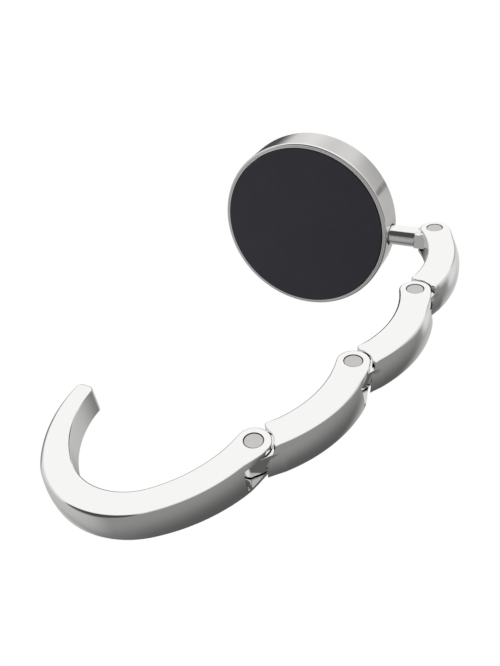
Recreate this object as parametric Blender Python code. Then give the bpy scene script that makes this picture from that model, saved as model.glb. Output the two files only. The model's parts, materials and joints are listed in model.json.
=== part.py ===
"""A folding purse hook, open as it hangs from a table edge.

The grip pad faces down at z = 0, with the origin at its centre. The stud leaves the disc
along +X, and the chain of links and the hook hang below it in the XZ plane, so every
hinge axis runs along Y. Lengths are in metres.
"""

import math

import bmesh
import bpy
from mathutils import Vector

# Disc
DISC_RADIUS = 0.0220
DISC_HEIGHT = 0.0075
RIM_WALL = 0.0010
RIM_SETBACK = 0.0002
RIM_LOWER_FILLET = 0.0003
RIM_UPPER_FILLET = 0.0008
LEDGE_WIDTH = 0.0012
TOP_WALL = 0.0006
PAD_THICKNESS = 0.0012
PAD_EDGE_FILLET = 0.0002
FILM_THICKNESS = 0.00015
PLATE_THICKNESS = 0.0006
INLAY_THICKNESS = 0.0004
INLAY_BORDER = 0.0020
INLAY_SETBACK = 0.0001

# Stud and what holds it inside the disc
STUD_RADIUS = 0.00224
STUD_NECK_RADIUS = 0.0013
STUD_GROOVE_RADIUS = 0.00095
STUD_COLLAR_LENGTH = 0.0007
STUD_CHAMFER = 0.00045
STUD_CHAMFER_LENGTH = 0.0010
STUD_REACH = 0.0317
STUD_SHOULDER_DEPTH = 0.0010
BOSS_LENGTH = 0.0082
BOSS_WIDTH = 0.0068
WASHER_THICKNESS = 0.0004
WASHER_RADIUS = 0.0020
CLIP_THICKNESS = 0.0006
CLIP_RADIUS = 0.00195
CLIP_MOUTH = 0.0016

# Links
LINK_PITCH = 0.0254
LINK_INNER_RADIUS = 0.0237
LINK_HEIGHT = 0.0060
LINK_WIDTH = 0.0067
LINK_LEAN = 0.0012
EAR_RADIUS = 0.0030
TONGUE_THICKNESS = 0.0034
TONGUE_END_RADIUS = 0.0027
TONGUE_ROOT = 0.0050
TONGUE_ROOT_HEIGHT = 0.0026
STUD_TONGUE_ROOT = 0.0037
PIN_RADIUS = 0.00155
PIN_EDGE_FILLET = 0.00015
SHOULDER_RADIUS = 0.0033
SHOULDER_SETBACK = 0.0028
SHOULDER_CORNER = 0.0005
SHOULDER_WRAP_RADIUS = 0.0034
SHOULDER_FRONT_SETBACK = 0.0031
HEEL_REACH = 0.0041
HEEL_HEIGHT = 0.0036
SLOT_FLOOR = 0.00305
SLOT_STEP_REACH = 0.0044
SLOT_RUNOUT_LENGTH = 0.0022
SLOT_RUNOUT_RISE = 0.0034
EAR_FILLET = 0.0003
LINK_OUTER_FILLET = 0.00035
LINK_INNER_FILLET = 0.0005
SHOULDER_FILLET = 0.0002

# Direction of the line from pin to pin in each link as it hangs, from +X towards +Z
LINK_CHORDS = (math.radians(-82.2), math.radians(-96.9), math.radians(-106.7))

# Hook: the direction in which it starts, then three arcs of its centre line
HOOK_HEADING = math.radians(-97.2)
HOOK_ARC_RADII = (0.0290, 0.0148, 0.0233)
HOOK_ARC_ANGLES = (math.radians(40.3), math.radians(85.2), math.radians(45.1))
HOOK_WIDTHS = (0.0051, 0.0055, 0.0038)
HOOK_OUTER_RISES = (0.00035, 0.0003, 0, 0)
HOOK_LEANS = (0.0012, 0.0006, 0, 0)
HOOK_OUTER_FILLET = 0.0004
HOOK_INNER_FILLET = 0.0005
HOOK_TIP_CORNER = 0.0010
HOOK_TIP_FILLET = 0.0004

# Clearances: between moving pieces, and between pieces that are glued together
RUNNING_GAP = 0.0003
SEAT_GAP = 0.0001
CUT_OVERRUN = 0.0020

# How far the outer side of a bar bulges between its two faces, and the lengths from a bar's
# end between which the outer side takes its full form
OUTER_CROWN = 0.0003
GROWTH_START = 0.0015
GROWTH_END = 0.0050
CROWN_STEPS = 3

# How far a facet may lie inside the curve that it stands for
CURVE_TOLERANCE = 0.00002
MERGE_DISTANCE = CURVE_TOLERANCE / 10
FILLET_STEPS = 3
QUARTER = math.pi / 2
SHARP_EDGE_ANGLE = math.radians(35)
GENTLE_TURN = math.radians(20)

# Least angle that the round end of a heel spans
HEEL_LAND = math.radians(5)
AXES = {"X": Vector((1, 0, 0)), "Y": Vector((0, 1, 0)), "Z": Vector((0, 0, 1))}

# Heights in the disc, worked up from the pad
RIM_INNER_RADIUS = DISC_RADIUS - RIM_WALL
LAYER_RADIUS = RIM_INNER_RADIUS - SEAT_GAP
FILM_BOTTOM = PAD_THICKNESS + SEAT_GAP
PLATE_BOTTOM = FILM_BOTTOM + FILM_THICKNESS + SEAT_GAP
PLATE_TOP = PLATE_BOTTOM + PLATE_THICKNESS
LEDGE_BOTTOM = PLATE_TOP + SEAT_GAP
INLAY_TOP = DISC_HEIGHT - INLAY_SETBACK
INLAY_BOTTOM = INLAY_TOP - INLAY_THICKNESS
INLAY_FILM_BOTTOM = INLAY_BOTTOM - SEAT_GAP - FILM_THICKNESS
RECESS_FLOOR = INLAY_FILM_BOTTOM - SEAT_GAP
CAVITY_TOP = RECESS_FLOOR - TOP_WALL
CAVITY_RADIUS = RIM_INNER_RADIUS - LEDGE_WIDTH
RECESS_RADIUS = DISC_RADIUS - INLAY_BORDER
STUD_HEIGHT = DISC_HEIGHT / 2

# Places along the stud, worked inwards from the rim
STUD_SHOULDER = DISC_RADIUS - STUD_SHOULDER_DEPTH
BOSS_OUTER = STUD_SHOULDER - RUNNING_GAP
BOSS_INNER = BOSS_OUTER - BOSS_LENGTH
WASHER_INNER = BOSS_INNER - RUNNING_GAP - WASHER_THICKNESS
CLIP_INNER = WASHER_INNER - RUNNING_GAP - CLIP_THICKNESS
STUD_END = CLIP_INNER - RUNNING_GAP / 2 - STUD_COLLAR_LENGTH
NECK_BORE_RADIUS = STUD_NECK_RADIUS + RUNNING_GAP

# Sizes that the hinges share
PIN_CIRCLE_RADIUS = LINK_INNER_RADIUS + EAR_RADIUS
LINK_HALF_ANGLE = math.asin(LINK_PITCH / 2 / PIN_CIRCLE_RADIUS)
PIN_HOLE_RADIUS = PIN_RADIUS + RUNNING_GAP
SLOT_WIDTH = TONGUE_THICKNESS + 2 * RUNNING_GAP


def polar(centre, radius, angle):
    """The point at this radius and angle from the centre, in the XZ plane."""
    return centre + radius * Vector((math.cos(angle), math.sin(angle)))


def arc_steps(radius, sweep):
    """Enough facets to keep an arc within the curve tolerance."""
    step = 2 * math.acos(1 - CURVE_TOLERANCE / radius)
    return max(2, math.ceil(abs(sweep) / step))


def arc(centre, radius, start, end):
    """Points of an arc from one angle to another, both ends included."""
    steps = arc_steps(radius, end - start)
    return [polar(centre, radius, start + (end - start) * i / steps) for i in range(steps + 1)]


class Frame:
    """A place on the chain: an origin, a heading along the chain, and its outward side."""

    def __init__(self, origin, heading):
        self.origin = origin
        self.heading = heading

    def at(self, ahead, outward):
        """The point this far ahead along the heading and this far out from it."""
        forward = polar(Vector((0, 0)), ahead, self.heading)
        return self.origin + polar(forward, outward, self.heading + QUARTER)

    def arc(self, radius, start, end):
        """An arc about the origin, its angles counted from the heading."""
        return arc(self.origin, radius, self.heading + start, self.heading + end)


def material(name, colour, metallic, roughness):
    """A plain material with the colour and finish of one kind of part."""
    made = bpy.data.materials.new(name)
    made.use_nodes = True
    shader = made.node_tree.nodes["Principled BSDF"]
    shader.inputs["Base Color"].default_value = (*colour, 1)
    shader.inputs["Metallic"].default_value = metallic
    shader.inputs["Roughness"].default_value = roughness
    return made


def world_place(obj):
    """Where the origin of an object lies, counted up through its parents."""
    place = Vector(obj.location)
    while obj.parent:
        obj = obj.parent
        place += obj.location
    return place


def add_object(name, mesh_builder, origin, parent, surface):
    """An object whose mesh, built in world coordinates, is moved to its own origin."""
    mesh = bpy.data.meshes.new(name)
    bmesh.ops.translate(mesh_builder, verts=mesh_builder.verts, vec=-origin)
    bmesh.ops.recalc_face_normals(mesh_builder, faces=mesh_builder.faces)
    mesh_builder.to_mesh(mesh)
    mesh_builder.free()
    mesh.shade_smooth()
    mesh.set_sharp_from_angle(angle=SHARP_EDGE_ANGLE)
    mesh.materials.append(surface)
    obj = bpy.data.objects.new(name, mesh)
    bpy.context.collection.objects.link(obj)
    obj.parent = parent
    obj.location = origin - world_place(parent) if parent else origin
    return obj


def turned(name, profile, axis, centre, origin, parent, surface):
    """A round piece: (radius, place along the axis) points, turned about the axis.

    The axis is X, Y or Z and runs through the centre.
    """
    along = AXES[axis]
    across = AXES["Z" if axis == "X" else "X"]
    widest = max(radius for radius, _ in profile)
    steps = 4 * math.ceil(arc_steps(widest, 4 * QUARTER) / 4)
    builder = bmesh.new()
    points = [centre + across * radius + along * place for radius, place in profile]
    verts = [builder.verts.new(point) for point in points]
    pairs = list(zip(verts, verts[1:]))
    if profile[0][0] > 0:
        pairs.append((verts[-1], verts[0]))
    edges = [builder.edges.new(pair) for pair in pairs]
    bmesh.ops.spin(
        builder,
        geom=verts + edges,
        cent=centre,
        axis=along,
        angle=4 * QUARTER,
        steps=steps,
        use_merge=True,
    )
    bmesh.ops.remove_doubles(builder, verts=builder.verts, dist=MERGE_DISTANCE)
    return add_object(name, builder, origin, parent, surface)


def inset_vector(before, here, after, inset_before, inset_after):
    """How a corner of an outline moves when its two edges move in by their own insets."""
    first = (here - before).normalized()
    second = (after - here).normalized()
    first_in = Vector((first.y, -first.x))
    second_in = Vector((second.y, -second.x))
    turn = first_in.x * second_in.y - first_in.y * second_in.x
    if abs(turn) < math.sin(GENTLE_TURN):
        return (first_in + second_in).normalized() * (inset_before + inset_after) / 2
    across = inset_before * second_in.y - inset_after * first_in.y
    up = first_in.x * inset_after - second_in.x * inset_before
    return Vector((across, up)) / turn


class Outline:
    """A clockwise outline in the XZ plane, with the form of the side at each point.

    Each point has a lean, which is how far the side is shifted at the front face, and a
    crown, which is how far it bulges half-way between the faces. The fillet belongs to the
    edge from the point to the next one.
    """

    def __init__(self):
        self.points = []
        self.leans = []
        self.crowns = []
        self.fillets = []

    def add(self, points, fillet):
        """Points whose side is upright."""
        for point in points:
            self.add_formed(point, Vector((0, 0)), Vector((0, 0)), fillet)

    def add_formed(self, point, lean, crown, fillet):
        """One point with the form of its side."""
        self.points.append(point)
        self.leans.append(lean)
        self.crowns.append(crown)
        self.fillets.append(fillet)

    def insets(self, leaning):
        """How each point moves in for the fillets, at the front face or at the back face."""
        points = self.points
        if leaning:
            points = [point + lean for point, lean in zip(points, self.leans)]
        turns = zip(points[-1:] + points, points, points[1:] + points[:1])
        widths = zip(self.fillets[-1:] + self.fillets, self.fillets)
        return [inset_vector(*turn, *width) for turn, width in zip(turns, widths)]

    def side(self, number, rise):
        """A point of the side, its rise counted from 0 at the back face to 1 at the front."""
        lean = self.leans[number] * rise**2
        return self.points[number] + lean + self.crowns[number] * 4 * rise * (1 - rise)


def slab(name, outline, thickness, origin, parent, surface):
    """A bar with this outline, centred on y = 0, its front face towards -Y."""
    numbers = range(len(outline.points))
    fillets = outline.fillets
    depths = [max(fillets[i - 1], fillets[i]) for i in numbers]
    angles = [QUARTER * step / FILLET_STEPS for step in range(FILLET_STEPS + 1)]
    builder = bmesh.new()
    rings = []

    def add_ring(insets, height_of):
        ring = []
        for i in numbers:
            y = height_of(depths[i])
            place = outline.side(i, 0.5 - y / thickness) + insets[i]
            ring.append(builder.verts.new((place.x, y, place.y)))
        rings.append(ring)

    def add_fillet(side, angle, insets):
        moved = [inset * (1 - math.sin(angle)) for inset in insets]
        add_ring(moved, lambda depth: side * (thickness / 2 - depth * (1 - math.cos(angle))))

    for angle in angles:
        add_fillet(-1, angle, outline.insets(True))
    for step in range(1, CROWN_STEPS + 1):
        y = thickness * (step / (CROWN_STEPS + 1) - 0.5)
        add_ring([Vector((0, 0))] * len(numbers), lambda depth: y)
    for angle in reversed(angles):
        add_fillet(1, angle, outline.insets(False))
    for lower, upper in zip(rings, rings[1:]):
        for i in numbers:
            builder.faces.new((lower[i - 1], lower[i], upper[i], upper[i - 1]))
    # Where the sides lean and swell their faces are bent, and the cuts need flat ones.
    bmesh.ops.triangulate(builder, faces=builder.faces[:])
    builder.faces.new(rings[0])
    builder.faces.new(rings[-1])
    return add_object(name, builder, origin, parent, surface)


def prism(name, outline, thickness, origin, parent, surface):
    """A plain extrusion of an outline in the XZ plane, centred on y = 0."""
    builder = bmesh.new()
    verts = [builder.verts.new((point.x, -thickness / 2, point.y)) for point in outline]
    face = builder.faces.new(verts)
    grown = bmesh.ops.extrude_face_region(builder, geom=[face])["geom"]
    moved = [item for item in grown if isinstance(item, bmesh.types.BMVert)]
    bmesh.ops.translate(builder, verts=moved, vec=(0, thickness, 0))
    return add_object(name, builder, origin, parent, surface)


def box(name, low, high, origin, parent, surface):
    """A box between two corners."""
    builder = bmesh.new()
    bmesh.ops.create_cube(builder, size=1)
    bmesh.ops.scale(builder, verts=builder.verts, vec=high - low)
    bmesh.ops.translate(builder, verts=builder.verts, vec=(high + low) / 2)
    return add_object(name, builder, origin, parent, surface)


def combine(obj, other, operation):
    """Joins or cuts one object with another, which stays only as a guide."""
    other.hide_render = True
    other.display_type = "WIRE"
    modifier = obj.modifiers.new(other.name, "BOOLEAN")
    modifier.operation = operation
    modifier.solver = "EXACT"
    modifier.object = other


def axle_cutter(name, pin, radius, thickness, parent, surface):
    """A round cutter along Y through a hinge pin's place."""
    centre = Vector((pin.x, 0, pin.y))
    half = thickness / 2 + CUT_OVERRUN
    profile = [(0, -half), (radius, -half), (radius, half), (0, half)]
    return turned(name, profile, "Y", centre, world_place(parent), parent, surface)


def fillet_arc(radius, place, fillet, start):
    """A quarter round at the corner of a turned profile, about the given centre."""
    steps = FILLET_STEPS
    angles = [start - QUARTER * step / steps for step in range(steps + 1)]
    return [(radius + fillet * math.cos(a), place + fillet * math.sin(a)) for a in angles]


def add_disc_case(chrome):
    """The cup that makes the rim and the top, with the boss that guides the stud."""
    origin = Vector((0, 0, 0))
    upper = fillet_arc(
        DISC_RADIUS - RIM_UPPER_FILLET, DISC_HEIGHT - RIM_UPPER_FILLET, RIM_UPPER_FILLET, QUARTER
    )
    lower = fillet_arc(
        DISC_RADIUS - RIM_LOWER_FILLET, RIM_SETBACK + RIM_LOWER_FILLET, RIM_LOWER_FILLET, 0
    )
    profile = [(0, RECESS_FLOOR), (RECESS_RADIUS, RECESS_FLOOR), (RECESS_RADIUS, DISC_HEIGHT)]
    profile += upper + lower
    profile += [(RIM_INNER_RADIUS, RIM_SETBACK), (RIM_INNER_RADIUS, LEDGE_BOTTOM)]
    profile += [(CAVITY_RADIUS, LEDGE_BOTTOM), (CAVITY_RADIUS, CAVITY_TOP), (0, CAVITY_TOP)]
    case = turned("disc_case", profile, "Z", origin, origin, None, chrome)

    half = BOSS_WIDTH / 2
    low = Vector((BOSS_INNER, -half, LEDGE_BOTTOM + SEAT_GAP))
    high = Vector((BOSS_OUTER, half, CAVITY_TOP + TOP_WALL / 2))
    combine(case, box("stud_boss", low, high, origin, case, chrome), "UNION")

    axis = Vector((0, 0, STUD_HEIGHT))
    inside = BOSS_INNER - CUT_OVERRUN
    outside = DISC_RADIUS + CUT_OVERRUN
    bore = [(0, inside), (NECK_BORE_RADIUS, inside), (NECK_BORE_RADIUS, BOSS_OUTER)]
    hole_radius = STUD_RADIUS + RUNNING_GAP
    bore += [(hole_radius, BOSS_OUTER), (hole_radius, outside), (0, outside)]
    combine(case, turned("stud_bore_cutter", bore, "X", axis, origin, case, chrome), "DIFFERENCE")

    low = Vector((inside, -NECK_BORE_RADIUS, PLATE_BOTTOM))
    high = Vector((BOSS_OUTER, NECK_BORE_RADIUS, STUD_HEIGHT))
    saddle = box("stud_saddle_cutter", low, high, origin, case, chrome)
    combine(case, saddle, "DIFFERENCE")
    return case


def add_disc_layers(case, chrome, steel, adhesive, rubber):
    """The glued layers: pad, film and plate below, film and inlay on top."""
    origin = Vector((0, 0, 0))

    def layer(name, bottom, top, radius, surface):
        profile = [(0, bottom), (radius, bottom), (radius, top), (0, top)]
        return turned(name, profile, "Z", origin, origin, case, surface)

    film_top = FILM_BOTTOM + FILM_THICKNESS
    layer("pad_adhesive", FILM_BOTTOM, film_top, LAYER_RADIUS, adhesive)
    plate = layer("base_plate", PLATE_BOTTOM, PLATE_TOP, LAYER_RADIUS, steel)
    notch_half = WASHER_RADIUS + RUNNING_GAP
    low = Vector((STUD_END - RUNNING_GAP, -notch_half, PLATE_BOTTOM - CUT_OVERRUN))
    high = Vector((DISC_RADIUS, notch_half, PLATE_TOP + CUT_OVERRUN))
    combine(plate, box("plate_notch_cutter", low, high, origin, plate, steel), "DIFFERENCE")

    inlay_radius = RECESS_RADIUS - SEAT_GAP
    inlay_film_top = INLAY_FILM_BOTTOM + FILM_THICKNESS
    layer("inlay_adhesive", INLAY_FILM_BOTTOM, inlay_film_top, inlay_radius, adhesive)
    layer("top_inlay", INLAY_BOTTOM, INLAY_TOP, inlay_radius, chrome)

    flat_radius = LAYER_RADIUS - PAD_EDGE_FILLET
    edge = fillet_arc(flat_radius, PAD_EDGE_FILLET, PAD_EDGE_FILLET, 0)
    profile = [(0, PAD_THICKNESS), (LAYER_RADIUS, PAD_THICKNESS)] + edge + [(0, 0)]
    turned("grip_pad", profile, "Z", origin, origin, case, rubber)


def heel_angles(parent, child):
    """Where the flank of a tongue's heel starts and ends, as angles from the heading.

    The flank faces the step in the fork's slot, a running gap away, and so it stops the
    chain from opening further.
    """
    turn = child.heading - parent.heading
    tip = turn + math.asin(RUNNING_GAP / HEEL_REACH)
    root = turn + math.asin(RUNNING_GAP / TONGUE_END_RADIUS)
    return tip, root


def link_tongue(parent, child):
    """The tongue of a link, clockwise from its outer root, with the heel on its outer side."""
    tip, root = heel_angles(parent, child)
    crest = max(math.asin(HEEL_HEIGHT / HEEL_REACH), tip + HEEL_LAND)
    points = [parent.at(-TONGUE_ROOT, TONGUE_ROOT_HEIGHT)]
    points += parent.arc(HEEL_REACH, crest, tip)
    points += parent.arc(TONGUE_END_RADIUS, root, -QUARTER)
    points.append(parent.at(-TONGUE_ROOT, -TONGUE_END_RADIUS))
    return points


def stud_tongue(parent, child):
    """The flat end of the stud, clockwise from its upper root.

    Its nose stays inside the fork when the chain is open.
    """
    half = STUD_RADIUS - SEAT_GAP
    turn = child.heading - parent.heading
    tip, root = heel_angles(parent, child)
    crest = turn + math.asin(TONGUE_END_RADIUS / HEEL_REACH)
    corner = math.asin(half / TONGUE_END_RADIUS)
    points = [parent.at(-STUD_TONGUE_ROOT, half)]
    points += parent.arc(TONGUE_END_RADIUS, corner, turn + QUARTER)
    points += parent.arc(HEEL_REACH, crest, tip)
    points += parent.arc(TONGUE_END_RADIUS, root, min(root, -corner))
    points.append(parent.at(-STUD_TONGUE_ROOT, -half))
    return points


def cut_fork(obj, fork, surface):
    """Cuts the slot and the pin hole into the fork at the start of a piece."""
    wide = 2 * EAR_RADIUS
    runout = SLOT_STEP_REACH + SLOT_RUNOUT_LENGTH * wide / SLOT_RUNOUT_RISE
    outline = [
        fork.at(-wide, wide),
        fork.at(runout, wide),
        fork.at(SLOT_STEP_REACH, 0),
        fork.at(SLOT_FLOOR, 0),
        fork.at(SLOT_FLOOR, -wide),
        fork.at(-wide, -wide),
    ]
    place = world_place(obj)
    slot = prism(obj.name + "_slot_cutter", outline, SLOT_WIDTH, place, obj, surface)
    combine(obj, slot, "DIFFERENCE")
    cutter = axle_cutter(
        obj.name + "_fork_hole_cutter", fork.origin, PIN_HOLE_RADIUS, LINK_HEIGHT, obj, surface
    )
    combine(obj, cutter, "DIFFERENCE")


def ear_outline(fork):
    """The round end of a fork, from its inner side round to its outer side."""
    return fork.arc(EAR_RADIUS, -QUARTER, -3 * QUARTER)[:-1]


def grown(length):
    """How much of its form the outer side has at this length from a bar's end."""
    return min(1, max(0, length - GROWTH_START) / (GROWTH_END - GROWTH_START))


def outer_fillet(full, length):
    """The outer fillet at this length from the fork, where it starts at the ear's fillet."""
    return EAR_FILLET + (full - EAR_FILLET) * grown(length)


def link_outline(fork, tail, child):
    """A link's outline, clockwise from the fork's inner side."""
    centre = fork.at(0, -PIN_CIRCLE_RADIUS)
    start = fork.heading + QUARTER
    end = tail.heading + QUARTER
    ear_width = 2 * EAR_RADIUS
    outline = Outline()
    outline.add(ear_outline(fork), EAR_FILLET)

    tail_radius = LINK_INNER_RADIUS + LINK_WIDTH
    outer_end = end + math.asin(SHOULDER_FRONT_SETBACK / tail_radius)
    steps = arc_steps(tail_radius, start - outer_end)
    for i in range(steps):
        angle = start + (outer_end - start) * i / steps
        length = (start - angle) * PIN_CIRCLE_RADIUS
        width = ear_width + (LINK_WIDTH - ear_width) * grown(length)
        outward = polar(Vector((0, 0)), grown(length), angle)
        outline.add_formed(
            polar(centre, LINK_INNER_RADIUS + width, angle),
            -LINK_LEAN * outward,
            OUTER_CROWN * outward,
            outer_fillet(LINK_OUTER_FILLET, length),
        )

    # At the back the shoulder reaches on round the next fork and along its outer side
    turn = child.heading - tail.heading
    rise = LINK_WIDTH - EAR_RADIUS
    ahead = (rise * math.cos(turn) - SHOULDER_WRAP_RADIUS) / math.sin(turn)
    corner = tail.at(ahead, rise)
    front_corner = tail.at(-SHOULDER_FRONT_SETBACK, rise - LINK_LEAN)
    outline.add_formed(corner, front_corner - corner, Vector((0, 0)), SHOULDER_FILLET)
    bend = math.acos(SHOULDER_SETBACK / SHOULDER_RADIUS)
    shoulder = tail.arc(SHOULDER_RADIUS, 2 * QUARTER - bend, 2 * QUARTER + bend)
    wrap = polar(tail.origin, SHOULDER_WRAP_RADIUS, child.heading + QUARTER)
    front_wrap = (front_corner + shoulder[0]) / 2
    outline.add_formed(wrap, front_wrap - wrap, Vector((0, 0)), SHOULDER_FILLET)
    corner_back = SHOULDER_SETBACK + SHOULDER_CORNER
    inner_end = end + math.asin(corner_back / LINK_INNER_RADIUS)
    corner_in = PIN_CIRCLE_RADIUS - LINK_INNER_RADIUS * math.cos(inner_end - end)
    corner_centre = tail.at(-corner_back, SHOULDER_CORNER - corner_in)
    inner_corner = arc(corner_centre, SHOULDER_CORNER, tail.heading, tail.heading - QUARTER)
    outline.add(shoulder + inner_corner, SHOULDER_FILLET)
    outline.add(arc(centre, LINK_INNER_RADIUS, inner_end, start)[1:-1], LINK_INNER_FILLET)
    return outline


def hook_outline(fork):
    """The hook's outline: a fork, then a bar round three arcs to a blunt tip."""
    outline = Outline()
    outline.add(ear_outline(fork), EAR_FILLET)
    inner = []
    frame = fork
    width = 2 * EAR_RADIUS
    rise = HOOK_OUTER_RISES[0]
    lean = HOOK_LEANS[0]
    total = sum(radius * sweep for radius, sweep in zip(HOOK_ARC_RADII, HOOK_ARC_ANGLES))
    passed = 0
    forms = zip(HOOK_WIDTHS, HOOK_OUTER_RISES[1:], HOOK_LEANS[1:])
    for radius, sweep, form in zip(HOOK_ARC_RADII, HOOK_ARC_ANGLES, forms):
        next_width, next_rise, next_lean = form
        centre = frame.at(0, -radius)
        steps = arc_steps(radius, sweep)
        for i in range(steps + 1):
            part = i / steps
            heading = frame.heading - sweep * part
            half = (width + (next_width - width) * part) / 2
            place = Frame(polar(centre, radius, heading + QUARTER), heading)
            length = passed + radius * sweep * part
            outward = polar(Vector((0, 0)), grown(length), heading + QUARTER)
            if i > 0 or not inner:
                risen = (rise + (next_rise - rise) * part) * grown(length)
                outline.add_formed(
                    place.at(0, half + risen),
                    -(lean + (next_lean - lean) * part) * outward,
                    OUTER_CROWN * grown(total - length) * outward,
                    outer_fillet(HOOK_OUTER_FILLET, length),
                )
                inner.append(place.at(0, -half))
        passed += radius * sweep
        frame = place
        width = next_width
        rise = next_rise
        lean = next_lean

    side = width / 2 - HOOK_TIP_CORNER
    outline.fillets[-1] = HOOK_TIP_FILLET
    tip = arc(frame.at(0, side), HOOK_TIP_CORNER, frame.heading + QUARTER, frame.heading)[1:]
    tip += arc(frame.at(0, -side), HOOK_TIP_CORNER, frame.heading, frame.heading - QUARTER)[:-1]
    outline.add(tip, HOOK_TIP_FILLET)
    outline.add(reversed(inner[1:]), HOOK_INNER_FILLET)
    return outline


def chain_frames():
    """The frame at each hinge: where the piece above it ends and the piece below it starts."""
    pin = Vector((STUD_REACH, STUD_HEIGHT))
    above = [Frame(pin, 0)]
    below = []
    for chord in LINK_CHORDS:
        below.append(Frame(pin, chord + LINK_HALF_ANGLE))
        pin = polar(pin, LINK_PITCH, chord)
        above.append(Frame(pin, chord - LINK_HALF_ANGLE))
    below.append(Frame(pin, HOOK_HEADING))
    return above, below


def add_stud(case, parent_frame, child_frame, chrome):
    """The stud that turns in the disc, with a clip groove inside and a flat tongue outside."""
    axis = Vector((0, 0, STUD_HEIGHT))
    end = STUD_REACH - SHOULDER_SETBACK
    groove_start = CLIP_INNER - RUNNING_GAP / 2
    groove_end = CLIP_INNER + CLIP_THICKNESS + RUNNING_GAP / 2
    profile = [
        (0, STUD_END),
        (STUD_NECK_RADIUS, STUD_END),
        (STUD_NECK_RADIUS, groove_start),
        (STUD_GROOVE_RADIUS, groove_start),
        (STUD_GROOVE_RADIUS, groove_end),
        (STUD_NECK_RADIUS, groove_end),
        (STUD_NECK_RADIUS, STUD_SHOULDER),
        (STUD_RADIUS, STUD_SHOULDER),
        (STUD_RADIUS, end - STUD_CHAMFER_LENGTH),
        (STUD_RADIUS - STUD_CHAMFER, end),
        (0, end),
    ]
    stud = turned("swivel_stud", profile, "X", axis, axis, case, chrome)
    pin = parent_frame.origin
    shoulder = axle_cutter(
        "stud_shoulder_cutter", pin, SHOULDER_RADIUS, 2 * STUD_RADIUS, stud, chrome
    )
    combine(stud, shoulder, "DIFFERENCE")
    outline = stud_tongue(parent_frame, child_frame)
    tongue = prism("stud_tongue", outline, TONGUE_THICKNESS, axis, stud, chrome)
    combine(stud, tongue, "UNION")
    hole = axle_cutter(
        "stud_hole_cutter", pin, PIN_HOLE_RADIUS, TONGUE_THICKNESS, stud, chrome
    )
    combine(stud, hole, "DIFFERENCE")
    return stud


def add_stud_fittings(stud, steel, nylon):
    """The washer and the clip that keep the stud in the disc."""
    axis = Vector((0, 0, STUD_HEIGHT))

    def ring(name, start, thickness, inner, outer, surface):
        profile = [
            (inner, start),
            (outer, start),
            (outer, start + thickness),
            (inner, start + thickness),
        ]
        return turned(name, profile, "X", axis, axis, stud, surface)

    ring("stud_washer", WASHER_INNER, WASHER_THICKNESS, NECK_BORE_RADIUS, WASHER_RADIUS, nylon)
    clip_bore = STUD_GROOVE_RADIUS + SEAT_GAP
    clip = ring("stud_clip", CLIP_INNER, CLIP_THICKNESS, clip_bore, CLIP_RADIUS, steel)
    half = CLIP_MOUTH / 2
    low = Vector((CLIP_INNER - CUT_OVERRUN, -half, STUD_HEIGHT - CLIP_RADIUS - CUT_OVERRUN))
    high = Vector((CLIP_INNER + CLIP_THICKNESS + CUT_OVERRUN, half, STUD_HEIGHT))
    combine(clip, box("clip_mouth_cutter", low, high, axis, clip, steel), "DIFFERENCE")


def add_link(name, fork, tail, child, parent, chrome):
    """One curved link, with a fork at its upper end and a tongue at its lower end."""
    origin = Vector((fork.origin.x, 0, fork.origin.y))
    link = slab(name, link_outline(fork, tail, child), LINK_HEIGHT, origin, parent, chrome)
    tongue_outline = link_tongue(tail, child)
    tongue = prism(name + "_tongue", tongue_outline, TONGUE_THICKNESS, origin, link, chrome)
    combine(link, tongue, "UNION")
    cut_fork(link, fork, chrome)
    hole = axle_cutter(
        name + "_tail_hole_cutter", tail.origin, PIN_HOLE_RADIUS, LINK_HEIGHT, link, chrome
    )
    combine(link, hole, "DIFFERENCE")
    return link


def add_hinge_pin(name, piece, surface):
    """A pin through the fork of a piece, its ends flush with the piece's two faces."""
    origin = world_place(piece)
    half = LINK_HEIGHT / 2
    straight = half - PIN_EDGE_FILLET
    core = PIN_RADIUS - PIN_EDGE_FILLET
    profile = [(0, half)]
    profile += fillet_arc(core, straight, PIN_EDGE_FILLET, QUARTER)
    profile += fillet_arc(core, -straight, PIN_EDGE_FILLET, 0)
    profile.append((0, -half))
    turned(name, profile, "Y", origin, origin, piece, surface)


def main():
    """Builds the hook, from the disc down the chain."""
    for obj in list(bpy.data.objects):
        bpy.data.objects.remove(obj)
    chrome = material("chrome", (0.80, 0.80, 0.81), 1, 0.08)
    pin_steel = material("pin_steel", (0.62, 0.62, 0.61), 1, 0.28)
    sheet_steel = material("sheet_steel", (0.55, 0.56, 0.57), 1, 0.35)
    adhesive = material("adhesive", (0.80, 0.78, 0.70), 0, 0.6)
    nylon = material("nylon", (0.85, 0.85, 0.82), 0, 0.5)
    rubber = material("black_rubber", (0.022, 0.023, 0.030), 0, 0.45)

    case = add_disc_case(chrome)
    add_disc_layers(case, chrome, sheet_steel, adhesive, rubber)

    above, below = chain_frames()
    stud = add_stud(case, above[0], below[0], chrome)
    add_stud_fittings(stud, sheet_steel, nylon)
    piece = stud
    for number in range(1, len(below)):
        name = f"link_{number}"
        fork = below[number - 1]
        piece = add_link(name, fork, above[number], below[number], piece, chrome)
        add_hinge_pin(f"hinge_pin_{number}", piece, pin_steel)

    fork = below[-1]
    origin = Vector((fork.origin.x, 0, fork.origin.y))
    hook = slab("hook_arm", hook_outline(fork), LINK_HEIGHT, origin, piece, chrome)
    cut_fork(hook, fork, chrome)
    add_hinge_pin(f"hinge_pin_{len(below)}", hook, pin_steel)


main()
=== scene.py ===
"""Looks of the folding purse hook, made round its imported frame. Lengths are in metres."""

import json
import math

import bmesh
import bpy
from mathutils import Matrix, Vector


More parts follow.
